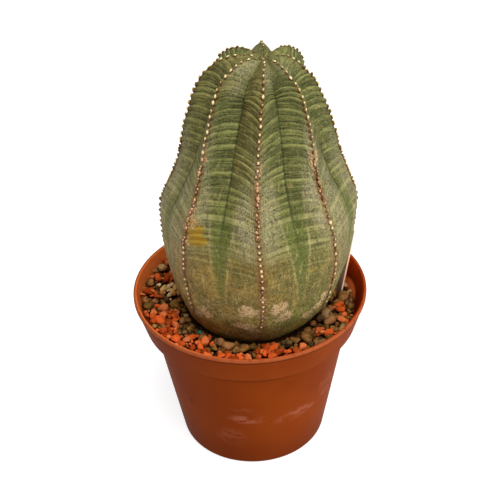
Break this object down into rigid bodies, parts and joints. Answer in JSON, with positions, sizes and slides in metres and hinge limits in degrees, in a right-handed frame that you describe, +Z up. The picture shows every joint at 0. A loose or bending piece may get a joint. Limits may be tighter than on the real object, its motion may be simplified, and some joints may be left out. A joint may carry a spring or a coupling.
{
  "type": "potted baseball plant",
  "caption": "Ribbed, leafless succulent stem with rows of tubercles along its ribs, growing in a gravel-topped round plastic nursery pot with a plant label.",
  "frame": {"origin": "centre of the flat underside of the pot", "axes": "+Z up along the pot's axis, -Y towards the side seen in the picture, +X towards the plant label"},
  "size_m": [0.12, 0.12, 0.2204],
  "materials": {
    "pot_plastic": "semi-matte terracotta-brown moulded plastic",
    "potting_soil": "dark, damp, loose potting soil",
    "brown_pebbles": "matt brown, olive and tan pebbles",
    "orange_chips": "matt, broken orange fired clay",
    "pale_chips": "matt, broken cream and straw-coloured clay",
    "turquoise_granule": "matt dark turquoise grain",
    "stem_skin": "waxy green skin with a greyish purple bloom, pale banding and cream to pink tubercles",
    "label_plastic": "blank white plastic"
  },
  "bodies": {
    "root": {"pot": "pot_plastic", "potting_soil": "potting_soil", "gravel": "brown_pebbles", "orange_chips_01": "orange_chips", "orange_chips_02": "orange_chips", "orange_chips_03": "orange_chips", "orange_chips_04": "orange_chips", "orange_chips_05": "orange_chips", "orange_chips_06": "orange_chips", "orange_chips_07": "orange_chips", "orange_chips_08": "orange_chips", "orange_chips_09": "orange_chips", "orange_chips_10": "orange_chips", "orange_chips_11": "orange_chips", "orange_chips_12": "orange_chips", "orange_chips_13": "orange_chips", "orange_chips_14": "orange_chips", "orange_chips_15": "orange_chips", "orange_chips_16": "orange_chips", "orange_chips_17": "orange_chips", "orange_chips_18": "orange_chips", "pale_chips": "pale_chips", "turquoise_granule": "turquoise_granule", "stem": "stem_skin", "plant_label": "label_plastic"}
  },
  "joints": []
}
